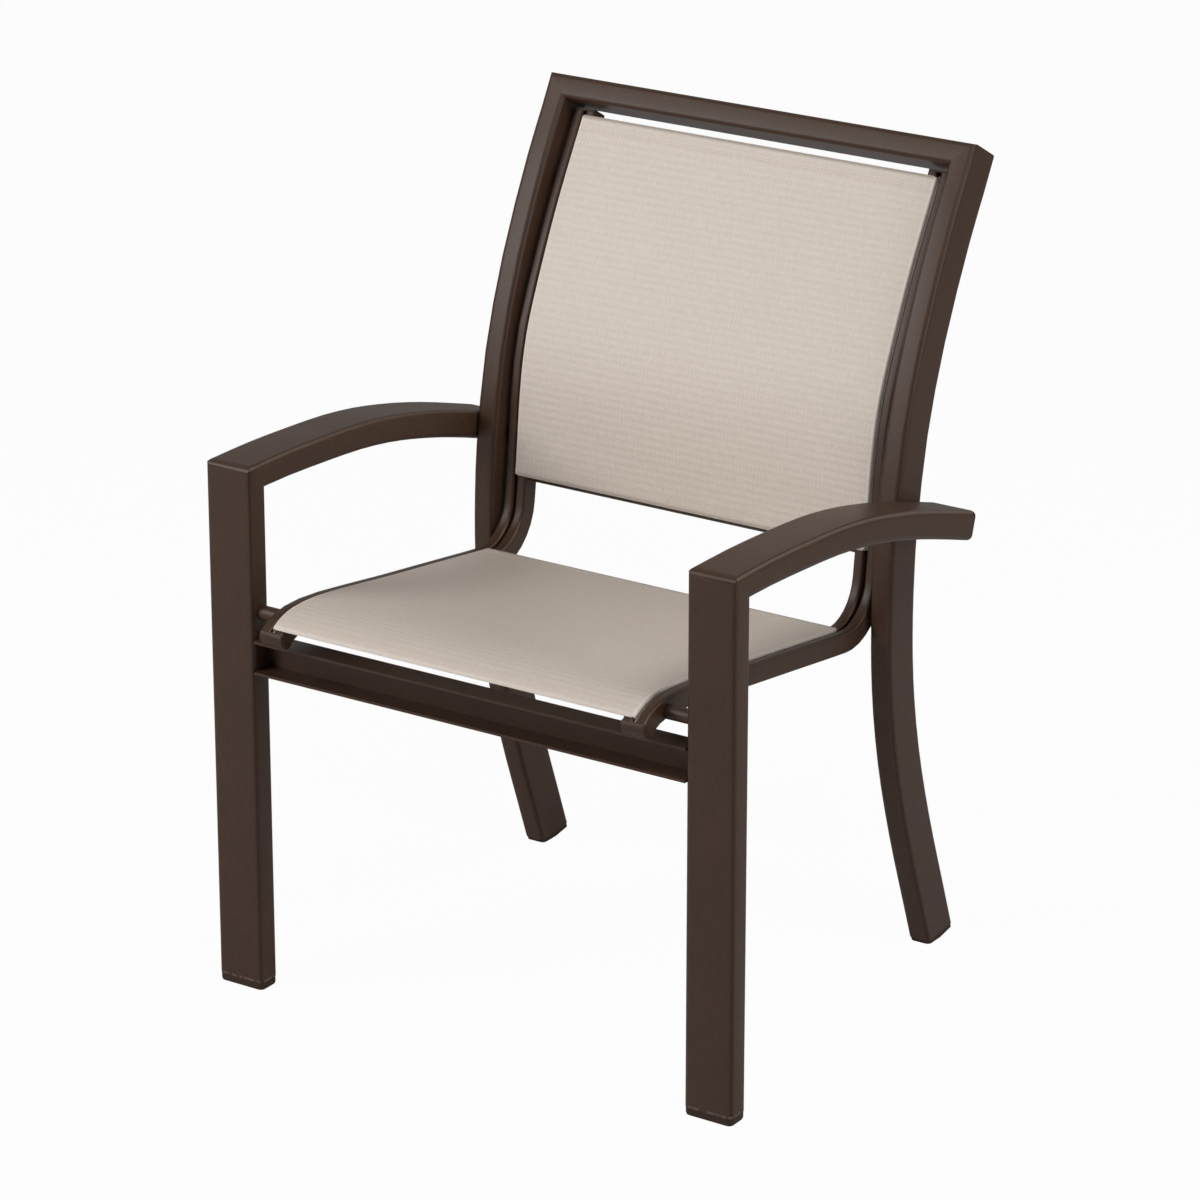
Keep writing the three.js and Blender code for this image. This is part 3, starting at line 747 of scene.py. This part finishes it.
def sling(name, node, axis):
    reach, line = faceLine(node, axis)
    path = stations(line, slingValues)
    total = path[-1][3]
    trim = slingValues["endInset"]
    path = [row for row in path if trim <= row[3] <= total - trim]
    sheet = slingSheet(name, path, reach, slingValues)
    hems = [hem(name + "Hem" + end, path, reach, end == "First", slingValues) for end in ("First", "Last")]
    sewing = stitches(name + "Stitches", path, reach, slingValues)
    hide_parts(node)
    wide = 2 * acrossLine(reach, slingValues)[-1][2]
    path[-1][3] - path[0][3]
    return sheet


sling("seatSling", "seat_sling", 1)
sling("backSling", "back_sling", 2)
print("slings made")


# Welds

def planeLoop(name, toward):
    # the outer rim of a node's end that lies furthest toward a direction
    shell = weldedShell(name)
    furthest = max(vert.co.dot(toward) for vert in shell.verts)
    onPlane = {vert for vert in shell.verts if vert.co.dot(toward) > furthest - near}
    rim = [edge for edge in shell.edges if edge.verts[0] in onPlane and edge.verts[1] in onPlane
           and any(any(vert not in onPlane for vert in face.verts) for face in edge.link_faces)]
    links = {}
    for edge in rim:
        a, b = edge.verts
        links.setdefault(a, []).append(b)
        links.setdefault(b, []).append(a)
    loops = []
    waiting = dict.fromkeys(links)    # in order, so that each run gives the same mesh
    while waiting:
        start = next(iter(waiting))
        del waiting[start]
        loop = [start]
        while True:
            ahead = [vert for vert in links[loop[-1]] if vert in waiting]
            if not ahead:
                break
            del waiting[ahead[0]]
            loop.append(ahead[0])
        loops.append([vert.co.copy() for vert in loop])
    shell.free()
    return max(loops, key=lambda loop: sum((a - b).length for a, b in zip(loop, loop[1:])))


def seamFill(name, node, toward, gap):
    # weld metal ground flush in the thin gap of a mitre
    loop = planeLoop(node, toward)
    count = len(loop)
    points = loop + [point + toward * gap for point in loop]
    faces = [(i, (i + 1) % count, (i + 1) % count + count, i + count) for i in range(count)]
    mesh = meshFrom(name, points, faces)
    shell = bmesh.new()
    shell.from_mesh(mesh)
    bmesh.ops.holes_fill(shell, edges=shell.edges)
    bmesh.ops.recalc_face_normals(shell, faces=shell.faces)
    shell.to_mesh(mesh)
    shell.free()
    return soften(addPiece(name, mesh, "frame_coat"))


weldValues = {"mitreGap": 0.3 * mm}
slopeUp = Vector((0, 1, 1)).normalized()
topSection = {(round(v.co.y, 6), round(v.co.z, 6)) for v in nodes["top_rail"].data.vertices}
meanY = sum(y for y, z in topSection) / len(topSection)
meanZ = sum(z for y, z in topSection) / len(topSection)
spreadYY = sum((y - meanY) ** 2 for y, z in topSection)
spreadZZ = sum((z - meanZ) ** 2 for y, z in topSection)
spreadYZ = sum((y - meanY) * (z - meanZ) for y, z in topSection)
lean = 0.5 * math.atan2(2 * spreadYZ, spreadYY - spreadZZ)
topWay = Vector((0, -math.sin(lean), math.cos(lean)))    # along the uprights at their top
for side, word in ((1, "right"), (-1, "left")):
    seamFill("frontCornerWeld_" + word, "front_leg_" + word, slopeUp, weldValues["mitreGap"])
    inward = (topWay - Vector((side, 0, 0))).normalized()
    seamFill("topCornerWeld_" + word, "upright_" + word, inward, weldValues["mitreGap"])
print("welds made")


# Floor and world: white to the camera and in gloss, plain in everything else

stageValues = {
    "floorSize": 30.0,
    "floorColour": colour(0.8, 0.8, 0.8),
    "floorRoughness": 0.9,
    "floorSeen": 0.965,
    "skySeen": 0.969,
    "floorMirrored": 0.07,
    "skyMirrored": 0.43,
    "skyStrength": 0.02,
}
white = colour(1, 1, 1)


def whiteFor(tree, seen, mirrored):
    # the share of plain white that camera and see-through rays find, and the share in gloss
    ray = tree.node("ShaderNodeLightPath").socket.node
    direct, glossy, clear = (Wire(tree, ray.outputs[key])
                             for key in ("Is Camera Ray", "Is Glossy Ray", "Is Transmission Ray"))
    return (direct.largest(clear) * seen).largest(glossy * mirrored)


def makeFloor(values):
    half = values["floorSize"] / 2
    corners = [(-half, -half, 0), (half, -half, 0), (half, half, 0), (-half, half, 0)]
    floor = bpy.data.objects.new("floor", meshFrom("floor", [Vector(c) for c in corners], [(0, 1, 2, 3)]))
    scene.collection.objects.link(floor)
    finish = Finish("floorWhite", Base_Color=values["floorColour"], Roughness=values["floorRoughness"],
                    Specular_IOR_Level=0.0)
    glow = finish.node("ShaderNodeEmission", {}, {"Color": white, "Strength": 1.0})
    share = whiteFor(finish, values["floorSeen"], values["floorMirrored"])
    surface = finish.node("ShaderNodeMixShader", {}, {
        0: share, 1: Wire(finish, finish.shader.outputs[0]), 2: glow})
    finish.plug(finish.tree.nodes["Material Output"].inputs["Surface"], surface)
    floor.data.materials.append(finish.material)


def makeWorld(values):
    world = bpy.data.worlds.new("studio")
    scene.world = world
    world.use_nodes = True
    sky = NodeTree(world.node_tree)
    plain = sky.tree.nodes["Background"]
    plain.inputs["Color"].default_value = white
    plain.inputs["Strength"].default_value = values["skyStrength"]
    glow = sky.node("ShaderNodeBackground", {}, {"Color": white, "Strength": 1.0})
    share = whiteFor(sky, values["skySeen"], values["skyMirrored"])
    surface = sky.node("ShaderNodeMixShader", {}, {0: share, 1: Wire(sky, plain.outputs[0]), 2: glow})
    sky.plug(sky.tree.nodes["World Output"].inputs["Surface"], surface)


makeFloor(stageValues)
makeWorld(stageValues)


# Lamps, all square and of one size: a key and a low fill left of the camera, a low side lamp and a
# high one on the right, and a weak one behind

lamps = {
    "key": {"from": (-2.004, -2.388, 2.3), "watts": 56},
    "lowFill": {"from": (-1.761, -3.05, 1.248), "watts": 25},
    "side": {"from": (3.464, -0.303, 1.432), "watts": 42},
    "high": {"from": (1.559, -0.9, 3.618), "watts": 44},
    "rear": {"from": (1.379, 2.388, 2.814), "watts": 14},
}
lampSize = 1.5
aim = Vector((0, 0, 0.5))
for name, values in lamps.items():
    light = bpy.data.lights.new(name, "AREA")
    light.shape = "SQUARE"
    light.size = lampSize
    light.energy = values["watts"]
    lamp = bpy.data.objects.new(name, light)
    scene.collection.objects.link(lamp)
    lamp.location = values["from"]
    lamp.rotation_euler = (aim - lamp.location).to_track_quat("-Z", "Y").to_euler()
    lamp.visible_camera = False
print("stage and lamps made")


# Camera at the photograph's angle

cameraValues = {
    "place": (2.8106, -4.2798, 2.3394),
    "azimuth": 33.498,
    "elevation": 20.599,
    "lens": 155.03,
    "sensor": 36,
    "reach": 60,
}
camera = bpy.data.objects.new("camera", bpy.data.cameras.new("camera"))
scene.collection.objects.link(camera)
camera.location = cameraValues["place"]
turn = math.radians(cameraValues["azimuth"])
tilt = math.radians(cameraValues["elevation"])
camera.rotation_euler = (math.pi / 2 - tilt, 0, turn)
camera.data.sensor_width = cameraValues["sensor"]
camera.data.lens = cameraValues["lens"]
camera.data.clip_end = cameraValues["reach"]
scene.camera = camera
scene.view_settings.view_transform = "Standard"
